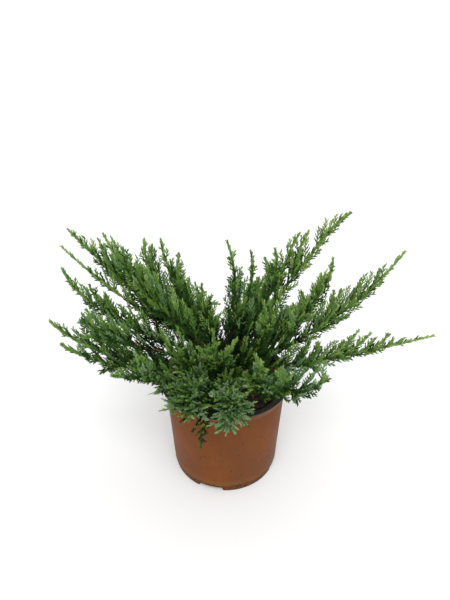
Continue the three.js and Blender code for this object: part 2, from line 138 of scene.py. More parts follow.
PLUMES = [
    Plume("left_high", (-225, 85, 344), (-136, 48, 268), 0.18, 56,
          [(0.5, (-186, 94, 326)), (0.22, (-226, 50, 332), (-140, 26, 262))], "mid"),
    Plume("left_crest", (-157, 20, 361), (-100, 4, 274), 0.14, 60,
          [(0.45, (-154, 44, 348)), (0.5, (-132, 6, 348))], "mid"),
    Plume("left_middle", (-200, -26, 332), (-139, -22, 255), 0.18, 46,
          [(0.5, (-166, -38, 316)), (0.4, (-145, -48, 310)), (0.22, (-144, 0, 247))], "mid"),
    Plume("left_blue", (-168, -80, 290), (-116, -54, 240), 0.2, 52,
          [(0.5, (-166, -64, 296)), (0.5, (-166, -90, 274))], "blue", 15, taper=0.72),
    Plume("left_long", (-231, -20, 253), (-147, -15, 191), 0.22, 52,
          [(0.5, (-188, 4, 246)), (0.25, (-164, 14, 204))], "mid", 15),
    Plume("left_under", (-206, -58, 242), (-127, -44, 196), 0.22, 54, [(0.5, (-155, -80, 214))], "deep", 15),
    Plume("left_low", (-135, -98, 224), (-90, -60, 194), 0.16, 47, [(0.3, (-85, -84, 187))], "deep", 15),
    Plume("back_left", (-126, 130, 313), (-96, 78, 247), 0.18, 56, [(0.55, (-112, 120, 308))], "mid"),
    Plume("back_middle", (-96, 100, 324), (-63, 52, 247), 0.14, 58,
          [(0.5, (-70, 110, 296)), (0.4, (-54, 80, 268))], "mid"),
    Plume("centre_back", (2, 75, 330), (14, 40, 258), 0, 46,
          [(0.5, (26, 60, 272)), (0.25, (34, 35, 331), (34, 32, 272)), (0.2, (0, 36, 240))], "mid"),
    Plume("centre_left", (-32, 20, 290), (-26, 20, 228), 0, 44,
          [(0.4, (-42, 30, 286)), (0.45, (-18, 22, 270)), (0.2, (-6, 14, 246))], "light"),
    Plume("right_spire", (68, 50, 328), (58, 22, 262), 0, 46, [(0.55, (55, 62, 310))], "mid"),
    Plume("right_high", (173, 75, 371), (110, 58, 301), 0.16, 48,
          [(0.3, (105, 75, 342), (88, 64, 306)), (0.42, (118, 75, 345), (102, 66, 311))], "light"),
    Plume("right_middle", (137, 0, 335), (104, -2, 252), 0.22, 46,
          [(0.5, (95, -10, 294)), (0.6, (126, 12, 308)), (0.3, (119, 5, 244))], "light"),
    Plume("right_long", (240, 30, 332), (142, 10, 234), 0.24, 58,
          [(0.5, (192, 45, 286)), (0.42, (149, 20, 278))], "light"),
    Plume("right_low", (282, -15, 228), (141, -20, 193), 0.26, 40,
          [(0.45, (182, -8, 233)), (0.52, (196, -16, 233)), (0.66, (222, -15, 231))], "light"),
    Plume("right_droop", (117, -110, 232), (80, -84, 188), 0.2, 58,
          [(0.5, (82, -112, 196)), (0.3, (94, -88, 216))], "blue", 15, taper=0.7),
    Plume("centre_right", (45, -45, 299), (46, -34, 224), 0, 54, [(0.5, (70, -34, 310))], "light"),
    Plume("inner_right", (79, -24, 276), (76, -24, 216), 0, 54, [], "mid"),
    Plume("inner_dark", (116, -60, 243), (90, -50, 204), 0.2, 54, [(0.5, (124, -50, 196))], "deep", 15),
    Plume("front_left_high", (-75, -90, 286), (-50, -56, 212), 0, 50,
          [(0.25, (-61, -46, 262)), (0.35, (-52, -118, 231))], "mid"),
    Plume("front_left_low", (-101, -110, 260), (-75, -85, 200), 0.16, 52,
          [(0.3, (-84, -106, 204)), (0.25, (-58, -120, 206)), (0.3, (-68, -112, 218))],
          "blue", 15, taper=0.72),
    Plume("front_light", (-14, -90, 284), (-11, -60, 214), 0, 52,
          [(0.25, (13, -105, 280)), (0.3, (-34, -84, 256))], "light"),
    Plume("front_slim", (32, -115, 268), (38, -84, 206), 0, 44, [(0.35, (25, -124, 218))], "light"),
    Plume("front_right", (64, -112, 245), (56, -86, 192), 0, 48,
          [(0.4, (47, -110, 208))], "blue", 15, taper=0.7),
    Plume("front_rim", (2, -143, 180), (6, -92, 190), 0.16, 46,
          [(0.5, (24, -139, 186)), (0.5, (-10, -138, 180)), (0.4, (32, -128, 194)),
           (0.3, (10, -138, 224)), (0.3, (-15, -138, 227))], "pale", 17, taper=0.5, crowd=0.36),
    Plume("front_corner", (-62, -122, 188), (-38, -72, 184), 0.16, 58,
          [(0.5, (-43, -128, 182)), (0.4, (-23, -137, 191)), (0.45, (-38, -128, 204)),
           (0.3, (-33, -128, 224))], "blue", 16, taper=0.6, crowd=0.5),
    Plume("front_hanging", (-30, -132, 142), (-20, -96, 178), 0.3, 28,
          [(0.35, (-39, -134, 170)), (0.3, (-52, -132, 184))], "dark", 7),
    Plume("rear_left", (-150, 150, 240), (-88, 82, 210), 0.18, 60,
          [(0.5, (-112, 176, 226)), (0.4, (-150, 105, 180)), (0.25, (-100, 120, 164))], "mid", 16),
    Plume("rear_middle", (-86, 200, 176), (-46, 106, 184), 0.18, 60,
          [(0.5, (-10, 204, 158)), (0.4, (-112, 165, 172)), (0.25, (-4, 118, 174))], "blue", 16),
    Plume("rear_right", (70, 200, 188), (40, 104, 190), 0.18, 60,
          [(0.5, (26, 194, 180)), (0.4, (90, 165, 182))], "mid", 16),
    Plume("rear_side", (142, 128, 178), (80, 66, 184), 0.18, 60,
          [(0.5, (154, 100, 218)), (0.4, (118, 146, 186)), (0.3, (122, 84, 168))], "mid", 16),
    Plume("rear_crest", (62, 128, 246), (36, 68, 218), 0.16, 52, [(0.5, (88, 100, 250))], "light"),
]

# Plumes whose side shoots lie close to one plane, so that they show as flat sprays from the front
FLAT_PLUMES = {
    "front_left_high", "front_light", "front_slim", "front_right", "front_left_low", "centre_right",
    "inner_right", "centre_left", "centre_back", "right_spire",
}
FLATNESS = 0.35  # how far those side shoots still stand out of the plane

# The growth rule: where limbs leave the trunk, and how shoots leave limbs


def chance(plume, shoot, purpose):
    """A repeatable number from 0 to 1 for each plume, shoot and purpose."""
    wave = np.sin(plume * 12.9898 + shoot * 78.233 + purpose * 37.719) * 43758.5453
    return wave - np.floor(wave)


def unit(vectors):
    return vectors / np.maximum(np.linalg.norm(vectors, axis=-1, keepdims=True), 1e-9)


def curve_points(root, bend, tip, share):
    share = np.asarray(share, float)[..., None]
    return (1 - share) ** 2 * root + 2 * share * (1 - share) * bend + share**2 * tip


def upright_frame(along):
    """Two directions square to each heading: a level one, and the one that points most upwards."""
    across = unit(np.cross(along, UP))
    return across, np.cross(across, along)


class Shoots:
    """Many curved shoots at once: root, bend and tip of each, its seed, its size and its green."""

    def __init__(self, root, bend, tip, seed, size, green):
        self.root, self.bend, self.tip = (np.asarray(ends, float) for ends in (root, bend, tip))
        self.seed, self.size = np.asarray(seed, float), np.asarray(size, float)
        self.green = np.asarray(green, int)

    def __len__(self):
        return len(self.root)

    def at(self, index, share):
        return curve_points(self.root[index], self.bend[index], self.tip[index], share)

    def heading(self, index, share):
        share = np.asarray(share, float)[..., None]
        root, bend, tip = self.root[index], self.bend[index], self.tip[index]
        return unit((1 - share) * (bend - root) + share * (tip - bend))

    def paths(self, shares):
        """Points of every shoot, where shares has a row for each."""
        return self.at((slice(None), None), shares)

    def bend_frame(self, index, along):
        """Two directions square to each heading: out of the plane the shoot bends in, and in that plane."""
        turned = unit(self.tip - self.bend) - unit(self.bend - self.root)
        inward = turned[index]
        over = unit(inward - (inward * along).sum(axis=1, keepdims=True) * along)
        return np.cross(along, over), over

    def chosen(self, which):
        ends = (self.root[which], self.bend[which], self.tip[which])
        return Shoots(*ends, self.seed[which], self.size[which], self.green[which])

    def lengths(self):
        points = self.paths(np.tile(np.linspace(0, 1, 9), (len(self), 1)))
        return np.linalg.norm(np.diff(points, axis=1), axis=2).sum(axis=1)

    def joined(self, other):
        pairs = ((getattr(self, key), getattr(other, key)) for key in vars(self))
        return Shoots(*(np.concatenate(pair) for pair in pairs))


def trunk_centre(height):
    return np.array([TRUNK_LEAN * (height - SOIL_TOP), 0, height])


def bend_through(root, via, tip):
    """The bend of a curve that passes via half-way."""
    return 2 * np.array(via) - (root + np.array(tip)) / 2


def seat_plumes():
    """A limb leaves the trunk as low as it can without coming close to one that is already there."""

    def climb(plume):
        return (2 * plume.via[2] - 0.5 * plume.tip[2] - SEAT_LEVEL) / math.hypot(*plume.via[:2])

    shares = 0.01 * np.arange(1, 61)
    taken = np.full((1, 3), 1e6)  # a point far from every limb
    seats = {}
    for plume in sorted(PLUMES, key=climb):
        height = SOIL_TOP + 1.2 * FLARE_HEIGHT
        close = True
        while close:
            height += 1
            root = trunk_centre(height)
            path = curve_points(root, bend_through(root, plume.via, plume.tip), np.array(plume.tip), shares)
            path = path[np.hypot(path[:, 0], path[:, 1]) > TRUNK_RADIUS - 2]
            close = (np.linalg.norm(taken[:, None] - path[None], axis=2) < SEAT_GAP).any()
        taken = np.vstack([taken, path])
        seats[plume.name] = root
    return seats


class Habit(NamedTuple):
    """How side shoots stand on a stem."""

    spacing: float
    first: float  # share of the stem at which they start
    clad: float  # share of the stem that carries them
    spread_foot: float  # degrees from the stem
    spread_tip: float
    lift: float  # how strongly they turn upwards
    taper: float  # how much shorter the last is than the first
    smallest: float
    level: float  # how long those beside the stem are, as a share of the longest
    lopsided: float  # how much longer those above the stem are, and how much shorter those below
    ranked: bool = False  # in two rows in the plane that the stem bends in, not all around it
    slim: float = 0  # how much shorter still they are near the tip of a stem that tapers strongly


LATERAL = Habit(
    spacing=3.7, first=0.03, clad=0.88, spread_foot=46, spread_tip=32, lift=0.28, taper=0.88, smallest=5,
    level=0.75, lopsided=0.28, slim=0.24,
)
SPUR = Habit(
    spacing=2.2, first=0.0, clad=0.98, spread_foot=38, spread_tip=26, lift=0.1, taper=0.5, smallest=3,
    level=0.66, lopsided=0.38,
)
INNER = Habit(
    spacing=3.4, first=0.0, clad=0.62, spread_foot=52, spread_tip=40, lift=0.5, taper=0.2, smallest=2,
    level=0.8, lopsided=0.22,
)
BRANCHLET = Habit(
    spacing=3.1, first=0.08, clad=0.9, spread_foot=40, spread_tip=28, lift=0.1, taper=0.5, smallest=2,
    level=0.8, lopsided=0.08, ranked=True,
)


STRONG_TAPER = 0.8  # taper above which the last side shoots are slimmed too


def numbered(count):
    """For each parent its number, repeated once for each child, and each child's own number."""
    index = np.repeat(np.arange(len(count)), count)
    order = np.arange(len(index)) - np.repeat(np.cumsum(count) - count, count)
    return index, order


def within_reach(points):
    """Which points lie in the part's box, or close around it."""
    low, high = (np.array(corner) / MM for corner in cad_box)
    return ((points > low - BOX_MARGIN) & (points < high + BOX_MARGIN)).all(axis=1)


def side_shoots(stems, start, longest, habit, tapers=None, crowd=None, flatness=None):
    """The side shoots of every stem. Each leaves at an angle, then turns forwards and up.

    With them come each one's share of the way along its stem, its stem's number, and how far it stands
    on the upper side, from -1 to 1.
    """
    tapers = np.full(len(stems), habit.taper) if tapers is None else tapers
    crowd = np.ones(len(stems)) if crowd is None else crowd
    flatness = np.ones(len(stems)) if flatness is None else flatness
    span = stems.lengths() * (1 - start)
    count = np.maximum(1, np.rint(habit.clad * span / (habit.spacing * crowd))).astype(int)
    index, order = numbered(count)
    seed = stems.seed[index]
    share = habit.first + habit.clad * (order + 0.5 * chance(seed, order, 1)) / count[index]
    place = start[index] + (1 - start[index]) * share
    root, along = stems.at(index, place), stems.heading(index, place)
    across, over = stems.bend_frame(index, along) if habit.ranked else upright_frame(along)
    angle = np.pi if habit.ranked else GOLDEN_ANGLE
    turn = order * angle + (0.9 if habit.ranked else 0.5) * (chance(seed, order, 2) - 0.5)
    outward = unit(over * (flatness[index] * np.cos(turn))[:, None] + across * np.sin(turn)[:, None])
    draw = chance(seed, order, 3)
    unequal = habit.level + habit.lopsided * np.cos(turn) + 0.2 * (draw - 0.5) - (1 - crowd[index]) * draw**2
    size = longest[index] * np.minimum(1, 0.75 + share) * (1 - tapers[index] * share**1.35) * unequal
    near_end = np.clip((share - 0.6) / 0.3, 0, 1)
    size = size * (1 - habit.slim * (tapers[index] > STRONG_TAPER) * near_end)
    spread = np.radians(habit.spread_foot + (habit.spread_tip - habit.spread_foot) * share)[:, None]
    first = unit(along * np.cos(spread) + outward * np.sin(spread) + 0.5 * habit.lift * UP)
    second = unit(first + 0.35 * along + habit.lift * UP)
    middle = root + 0.5 * size[:, None] * first
    tip = middle + 0.5 * size[:, None] * second
    kept = (size > habit.smallest) & within_reach(tip)
    shoot_seed = seed + 7.31 * order + 0.5
    green = stems.green[index]
    made = Shoots(root, middle, tip, shoot_seed, size, green).chosen(kept)
    return made, share[kept], index[kept], np.cos(turn[kept])


# The greens of the sprays, the next paler and darker one of each, and how each family deals them out

DEEP, MID, LIGHT, FRESH, BLUE, PALE, SHADE = range(7)
GREEN_NAMES = ["deep", "mid", "light", "fresh", "blue", "pale", "shade"]
PALER = np.array([MID, LIGHT, FRESH, FRESH, PALE, PALE, DEEP])
DARKER = np.array([DEEP, DEEP, MID, LIGHT, DEEP, BLUE, SHADE])
# The dark family, on the plume that hangs below the crown, and the deep family, on the low, under and inner
# plumes, are painted shade
FAMILIES = {
    "dark": [(0.6, SHADE), (1, DEEP)],
    "deep": [(0.5, DEEP), (0.9, MID), (1, BLUE)],
    "mid": [(0.2, DEEP), (0.7, MID), (0.9, LIGHT), (1, BLUE)],
    "light": [(0.45, MID), (0.93, LIGHT), (1, BLUE)],
    "blue": [(0.15, DEEP), (0.4, MID), (0.9, BLUE), (1, PALE)],
    "pale": [(0.1, MID), (0.45, BLUE), (1, PALE)],
}
FAMILY_NAMES = list(FAMILIES)
PALE_FAMILY, MID_FAMILY = FAMILY_NAMES.index("pale"), FAMILY_NAMES.index("mid")

# Places inside the crown where little light comes: the middle of each, and how far it reaches

DARK_PLACES = [
    ((12, 22, 184), (54, 46, 46)),
    ((-92, -10, 226), (26, 60, 20)),
    ((84, -4, 212), (26, 36, 24)),
]
DARK_EDGE = 0.3  # how ragged their edge is, as a share of the reach
DARK_CORE = 0.8  # share of the reach within which sprays take the darkest green


def dealt(family, draw):
    """The green of each spray: its plume's family, and a number drawn for it."""
    green = np.zeros(len(draw), int)
    for number, name in enumerate(FAMILY_NAMES):
        for limit, colour in reversed(FAMILIES[name]):
            green[(family == number) & (draw <= limit)] = colour
    return green


def shift_green(shoots, which, shades):
    shoots.green[which] = shades[shoots.green[which]]


def near_tip(shoots, share, start, ragged):
    """Which shoots stand beyond a share of their stem, with a ragged limit."""
    return share > start + ragged * chance(shoots.seed, 4, 6)


# Growing the plant

FORK_BEND = 0.45  # how far a fork runs along its leader's heading, as a share of its length
BARE_FOOT = 0.12  # share of every leader that no short shoots clothe
DENSE_END = 0.4  # share of a stem beyond which some side shoots are left out
LEFT_OUT = 0.34  # how many of them
PALE_START = 0.42  # share of a pale plume's stem from which its side shoots are pale
SIDE_LIMIT, UNDER_LIMIT = -0.1, -0.7  # side shoots this far round from the upper side are darker
BRANCHLET_LENGTH, BRANCHLET_GROWTH, LONGEST_BRANCHLET = 6, 0.2, 13.5
BLUNT_TAPER = 0.1  # taper of the side shoots of crowded plumes
INNER_START, INNER_LENGTH, INNER_SPRAY = 0.03, 27, 9  # shoots that fill the crown near the trunk
INNER_REACH = 72  # how far from the pot's axis they may end

seats = seat_plumes()
leaders, forks = [], []
for number, plume in enumerate(PLUMES):
    root = seats[plume.name]
    bend = bend_through(root, plume.via, plume.tip)
    family = FAMILY_NAMES.index(plume.greens)
    leader = Shoots([root], [bend], [plume.tip], [number], [plume.girth], [family])
    leaders.append(leader)
    for i, (share, fork_tip, *via) in enumerate(plume.forks):
        foot = leader.at([0], [share])
        end = np.array([fork_tip], float)
        bend = foot + leader.heading([0], [share]) * FORK_BEND * np.linalg.norm(end - foot)
        if via:
            bend = bend_through(foot, via[0], end)
        seed, girth = number + FORK_SEED * (i + 1), FORK_GIRTH * plume.girth
        forks.append(Shoots(foot, bend, end, [seed], [girth], [family]))


def batch(shoots):
    """All of a list's shoots in one."""
    whole = shoots[0]
    for more in shoots[1:]:
        whole = whole.joined(more)
    return whole


leaders, forks = batch(leaders), batch(forks)
leader_start = np.array([plume.bare for plume in PLUMES])
owners = PLUMES + [plume for plume in PLUMES for _ in plume.forks]
spur_length = np.array([plume.spur for plume in owners], float)
stem_taper = np.array([plume.taper for plume in owners])
stem_crowd = np.array([plume.crowd for plume in owners])
stem_flatness = np.where([plume.name in FLAT_PLUMES for plume in owners], FLATNESS, 1)
stems = leaders.joined(forks)
stem_start = np.concatenate([leader_start, np.zeros(len(forks))])
clad_start = np.maximum(stem_start, np.where(np.arange(len(stems)) < len(leaders), BARE_FOOT, 0))

laterals, lateral_share, parent, above = side_shoots(
    stems, stem_start, stems.size, LATERAL, stem_taper, stem_crowd, stem_flatness
)
standing = (lateral_share < DENSE_END) | (chance(laterals.seed, 6, 7) > LEFT_OUT)
laterals, lateral_share, parent, above = (
    laterals.chosen(standing), lateral_share[standing], parent[standing], above[standing]
)
laterals.green[(lateral_share < PALE_START) & (laterals.green == PALE_FAMILY)] = MID_FAMILY
laterals.green = dealt(laterals.green, chance(laterals.seed, 3, 5))
blunt = stem_crowd[parent] < 1
shift_green(laterals, near_tip(laterals, lateral_share, start=0.62, ragged=0.25), PALER)
# Side shoots on the underside of their stem take darker greens, two steps on the lowest: painted shade
shift_green(laterals, above < SIDE_LIMIT, DARKER)
shift_green(laterals, above < UNDER_LIMIT, DARKER)

spurs, spur_share = side_shoots(stems, clad_start, spur_length, SPUR)[:2]
spurs.green = dealt(spurs.green, chance(spurs.seed, 3, 5))
shift_green(spurs, near_tip(spurs, spur_share, start=0.55, ragged=0.3), PALER)
spurs.green[spur_share < 0.5] = DEEP

branchlet_length = np.minimum(LONGEST_BRANCHLET, BRANCHLET_LENGTH + BRANCHLET_GROWTH * laterals.size)
branchlet_taper = np.where(blunt, BLUNT_TAPER, BRANCHLET.taper)
branchlets, branchlet_share, lateral_of = side_shoots(
    laterals, np.zeros(len(laterals)), branchlet_length, BRANCHLET, branchlet_taper
)[:3]
shift_green(branchlets, near_tip(branchlets, branchlet_share, start=0.5, ragged=0.5), PALER)
# Branchlets near the foot of their side shoot take darker greens, and some near the stem the shade green:
# painted shade in the gaps along the stems
shift_green(branchlets, branchlet_share < 0.45 * chance(branchlets.seed, 5, 6), DARKER)
shaded = (branchlet_share < 0.5 * chance(branchlets.seed, 8, 4)) & (chance(branchlets.seed, 9, 4) < 0.75)
branchlets.green[shaded] = DEEP
near_stem = lateral_share[lateral_of] < 0.6 * chance(branchlets.seed, 2, 4)
branchlets.green[shaded & near_stem] = SHADE

inner_start, inner_length = np.full(len(leaders), INNER_START), np.full(len(leaders), INNER_LENGTH)
inner = side_shoots(leaders, inner_start, inner_length, INNER)[0]
inner = inner.chosen(np.linalg.norm(inner.tip[:, :2], axis=1) < INNER_REACH)
# The inner shoots all take the deep green: painted shade inside the crown near the trunk
inner.green = np.full(len(inner), DEEP)
laterals = laterals.joined(inner)
inner_spray = np.full(len(inner), INNER_SPRAY)
inner_branchlets = side_shoots(inner, np.zeros(len(inner)), inner_spray, BRANCHLET)[0]
sprays = branchlets.joined(inner_branchlets).joined(spurs)
for shoots in (laterals, sprays):
    for middle, reach in DARK_PLACES:
        distance = np.linalg.norm((shoots.root - np.array(middle)) / np.array(reach), axis=1)
        distance += DARK_EDGE * (chance(shoots.seed, 7, 3) - 0.5)
        shoots.green[distance < 1] = DEEP
        shoots.green[distance < DARK_CORE] = SHADE

# Meshes from arrays: tapered limbs, and needles


def piece_from(name, corners, faces, finish, smooth=False):
    """A piece of triangles, from arrays in millimetres."""
    mesh = bpy.data.meshes.new(name)
    mesh.vertices.add(len(corners))
    mesh.vertices.foreach_set("co", (np.asarray(corners) * MM).astype(np.float32).ravel())
    mesh.loops.add(3 * len(faces))
    mesh.loops.foreach_set("vertex_index", np.asarray(faces, np.int32).ravel())
    mesh.polygons.add(len(faces))
    mesh.polygons.foreach_set("loop_start", np.arange(0, 3 * len(faces), 3, dtype=np.int32))
    mesh.update(calc_edges=True)
    mesh.polygons.foreach_set("use_smooth", np.full(len(faces), smooth))
    mesh.materials.append(finish)
    piece = bpy.data.objects.new(name, mesh)
    bpy.context.scene.collection.objects.link(piece)
    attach(piece, "root")
    return piece


def limb_surface(path, radius, sides, relief=None):
    """Tapered tubes along rows of points. Each ends in a point, and its foot is closed."""
    count, rings = radius.shape[0], radius.shape[1] - 1
    along = unit(np.gradient(path, axis=1))
    reach = path[:, -1] - path[:, 0]
    reference = np.cross(reach, UP)
    upright = np.linalg.norm(reference, axis=1) < 1e-3
    reference[upright] = (1, 0, 0)
    reference = unit(reference)[:, None]
    across = unit(reference - (reference * along).sum(axis=2, keepdims=True) * along)
    over = np.cross(across, along)
    turn = 2 * np.pi * np.arange(sides) / sides
    around = over[:, :-1, None] * np.cos(turn)[:, None] + across[:, :-1, None] * np.sin(turn)[:, None]
    out = np.repeat(radius[:, :-1, None], sides, axis=2)
    if relief is not None:
        out = out * relief(path[:, :-1], turn)
    walls = path[:, :-1, None] + out[..., None] * around
    corners = np.concatenate([walls.reshape(count, -1, 3), path[:, -1:]], axis=1)
    here = np.arange(sides)
    after = (here + 1) % sides
    template = [np.stack([np.zeros(sides - 2, int), here[2:], here[1:-1]], axis=1)]
    for ring in range(rings - 1):
        low, high = ring * sides, (ring + 1) * sides
        template.append(np.stack([low + here, low + after, high + after], axis=1))
        template.append(np.stack([low + here, high + after, high + here], axis=1))
    last = (rings - 1) * sides
    template.append(np.stack([last + here, last + after, np.full(sides, rings * sides)], axis=1))
    template = np.concatenate(template)
    faces = template[None] + (corners.shape[1] * np.arange(count))[:, None, None]
    return corners.reshape(-1, 3), faces.reshape(-1, 3)


def tubes(shoots, start, end, foot, tip, steps, sides, relief=None):
    """A tapered tube on every shoot, from one share of it to another."""
    values = (np.broadcast_to(value, len(shoots))[:, None] for value in (start, end, foot, tip))
    start, end, foot, tip = values
    run = np.linspace(0, 1, steps)
    path, radius = shoots.paths(start + (end - start) * run), foot + (tip - foot) * run
    return limb_surface(path, radius, sides, relief)


def joined_surfaces(surfaces):
    corners, faces, base = [], [], 0
    for some_corners, some_faces in surfaces:
        corners.append(some_corners)
        faces.append(some_faces + base)
        base += len(some_corners)
    return np.concatenate(corners), np.concatenate(faces)


def needles_on(shoots, spacing, start, length, width, spread, fade=0.3):
    """Root, heading, outward side, length and width of each needle along every shoot."""
    count = np.maximum(1, np.rint(shoots.lengths() * (1 - start) / spacing)).astype(int)
    index, order = numbered(count)
    share = (order + 0.5) / count[index]
    place = start[index] + (1 - start[index]) * share
    root, along = shoots.at(index, place), shoots.heading(index, place)
    across, over = upright_frame(along)
    seed = shoots.seed[index]
    turn = order * GOLDEN_ANGLE + 6.28 * chance(seed, 1, 9)
    outward = over * np.cos(turn)[:, None] + across * np.sin(turn)[:, None]
    lean = np.radians(spread * (1 - 1.5 * fade * share) * (0.8 + 0.4 * chance(seed, order, 10)))[:, None]
    heading = along * np.cos(lean) + outward * np.sin(lean)
    size = length * (1 - fade * share) * (0.85 + 0.3 * chance(seed, order, 11))
    return root, heading, outward, size, width * (1 - 0.25 * share), shoots.green[index]


def needle_surface(root, heading, outward, size, width):
    """Awl-shaped needles in four faces: a three-sided foot sunk in the twig, and a point."""
    side = unit(np.cross(heading, outward))
    ridge = np.cross(side, heading)
    half = 0.5 * width[:, None]
    foot = root - 0.25 * width[:, None] * ridge
    corners = np.stack(
        [foot + 1.5 * half * ridge, foot + half * side, foot - half * side, root + size[:, None] * heading],
        axis=1,
    )
    template = np.array([[0, 1, 3], [1, 2, 3], [2, 0, 3], [0, 2, 1]])
    faces = template[None] + 4 * np.arange(len(root))[:, None, None]
    return corners.reshape(-1, 3), faces.reshape(-1, 3)


# Materials


class Socket:
    """One output of a shader node. An expression on it adds its Math nodes."""

    def __init__(self, finish, output):
        self.finish, self.output = finish, output

    def maths(self, operation, first, second):
        return self.finish.node("ShaderNodeMath", {"operation": operation}, {0: first, 1: second})

    def __add__(self, other):
        return self.maths("ADD", self, other)

    def __sub__(self, other):
        return self.maths("SUBTRACT", self, other)

    def __rsub__(self, other):
        return self.maths("SUBTRACT", other, self)

    def __mul__(self, other):
        return self.maths("MULTIPLY", self, other)

    def below(self, limit):
        return self.maths("LESS_THAN", self, limit)

    __radd__ = __add__
    __rmul__ = __mul__


class Finish:
    """A material: node() adds any node and gives one of its outputs."""

    def __init__(self, name, colour, roughness):
        self.material = bpy.data.materials.new(name)
        self.material.use_nodes = True
        self.tree = self.material.node_tree
        self.shader = self.tree.nodes["Principled BSDF"]
        self.shader.inputs["Base Color"].default_value = (*colour, 1)
        self.shader.inputs["Roughness"].default_value = roughness
        self.material.diffuse_color = (*colour, 1)

    def fill(self, socket, value):
        if isinstance(value, Socket):
            self.tree.links.new(value.output, socket)
        elif hasattr(value, "__len__") and len(value) == 3 and socket.type == "RGBA":
            socket.default_value = (*value, 1)
        else:
            socket.default_value = value

    def node(self, kind, settings=None, values=None, output=0):
        made = self.tree.nodes.new(kind)
        for key, value in (settings or {}).items():
            setattr(made, key, value)
        for key, value in (values or {}).items():
            self.fill(made.inputs[key], value)
        return Socket(self, made.outputs[output])

    def place(self, scale=(1, 1, 1)):
        spot = self.node("ShaderNodeTexCoord", output="Object")
        return self.node("ShaderNodeMapping", None, {"Vector": spot, "Scale": scale})

    def noise(self, scale, detail=3, stretched=(1, 1, 1)):
        values = {"Vector": self.place(stretched), "Scale": scale, "Detail": detail}
        return self.node("ShaderNodeTexNoise", None, values)

    def ramp(self, factor, *stops):
        made = self.node("ShaderNodeValToRGB", None, {"Fac": factor})
        steps = made.output.node.color_ramp.elements
        while len(steps) < len(stops):
            steps.new(0.5)
        for step, (position, shade) in zip(steps, stops):
            step.position = position
            step.color = (shade, shade, shade, 1)
        return made

    def mix(self, factor, first, second):
        """One colour over another. A Mix node's sockets for colours are inputs 6 and 7 and output 2."""
        values = {"Factor": factor, 6: first, 7: second}
        return self.node("ShaderNodeMix", {"data_type": "RGBA"}, values, output=2)

    def set(self, name, value):
        self.fill(self.shader.inputs[name], value)

    def bump(self, height, strength, distance):
        values = {"Height": height, "Strength": strength, "Distance": distance}
        self.set("Normal", self.node("ShaderNodeBump", None, values))


def srgb(red, green, blue):
    """A colour given as it looks on a screen, from 0 to 255."""
    return tuple((channel / 255 / 12.92) if channel < 11 else ((channel / 255 + 0.055) / 1.055) ** 2.4
                 for channel in (red, green, blue))


def terracotta_finish():
    finish = Finish("terracotta_plastic", srgb(101, 57, 25), 0.5)
    finish.set("Specular IOR Level", 0.12)
    height = finish.node("ShaderNodeSeparateXYZ", None, {"Vector": finish.place()}, output="Z")
    cloudy = finish.ramp(finish.noise(18, 4), (0.32, 0), (0.72, 1))
    streaks = finish.ramp(finish.noise(30, 3, (1, 1, 0.12)), (0.42, 0), (0.75, 1))
    colour = finish.mix(cloudy, srgb(112, 60, 22), srgb(97, 55, 24))
    colour = finish.mix(streaks * 0.45, colour, srgb(87, 56, 32))
    scuffs = finish.ramp(finish.noise(220, 5, (1, 1, 0.35)), (0.62, 0), (0.7, 1))
    colour = finish.mix(scuffs * 0.22, colour, srgb(124, 80, 50))
    spots = {"Vector": finish.place(), "Scale": 120, "Randomness": 1}
    cell = finish.node("ShaderNodeTexVoronoi", None, spots)
    sparse = finish.ramp(finish.noise(45, 2) - height * 2, (0.28, 0), (0.34, 1))
    specks = cell.below(0.12) * sparse
    colour = finish.mix(specks * 0.85, colour, srgb(34, 23, 15))
    # A dark line where the band steps out over the wall: painted shadow under the band
    band_shadow = finish.ramp(height * 5, (0.685, 0), (0.687, 1), (0.691, 1), (0.693, 0))
    colour = finish.mix(band_shadow * 0.6, colour, srgb(58, 32, 16))
    # A paler band above the foot's ridge: dust, and a painted highlight on the ridge
    paler_tone = finish.ramp(height * 20, (0.2, 0), (0.22, 1), (0.32, 0.7), (0.48, 0))
    colour = finish.mix(paler_tone * 0.5, colour, srgb(112, 78, 44))
    dirt_edge = finish.noise(70, 4) * 0.004
    dirt = (height - dirt_edge).below(0.0095)
    colour = finish.mix(dirt * 0.85, colour, srgb(92, 54, 20))
    # A dark line at the small step where the wall stands out over the foot: painted shadow under the ridge
    ridge_shadow = finish.ramp(height * 20, (0.15, 0), (0.165, 1), (0.185, 1), (0.2, 0))
    colour = finish.mix(ridge_shadow * 0.8, colour, srgb(62, 33, 10))
    crumbs = finish.ramp(finish.noise(420, 4), (0.53, 0), (0.6, 1)) * (height - dirt_edge * 1.4).below(0.011)
    colour = finish.mix(crumbs * 0.9, colour, srgb(30, 22, 12))
    finish.set("Base Color", colour)
    finish.set("Roughness", finish.noise(60, 4) * 0.16 + 0.44)
    finish.bump(finish.noise(420, 3) + finish.noise(14, 2) * 3, 0.18, 0.0006)
    return finish.material


def black_plastic_finish():
    finish = Finish("black_plastic", srgb(17, 18, 16), 0.5)
    # Paler patches of dust on the black plastic
    paler_tone = finish.ramp(finish.noise(90, 5), (0.45, 0), (0.75, 1))
    finish.set("Base Color", finish.mix(paler_tone * 0.6, srgb(30, 31, 26), srgb(54, 50, 40)))
    finish.set("Roughness", paler_tone * 0.25 + 0.45)
    finish.bump(finish.noise(420, 3), 0.15, 0.0005)
    return finish.material


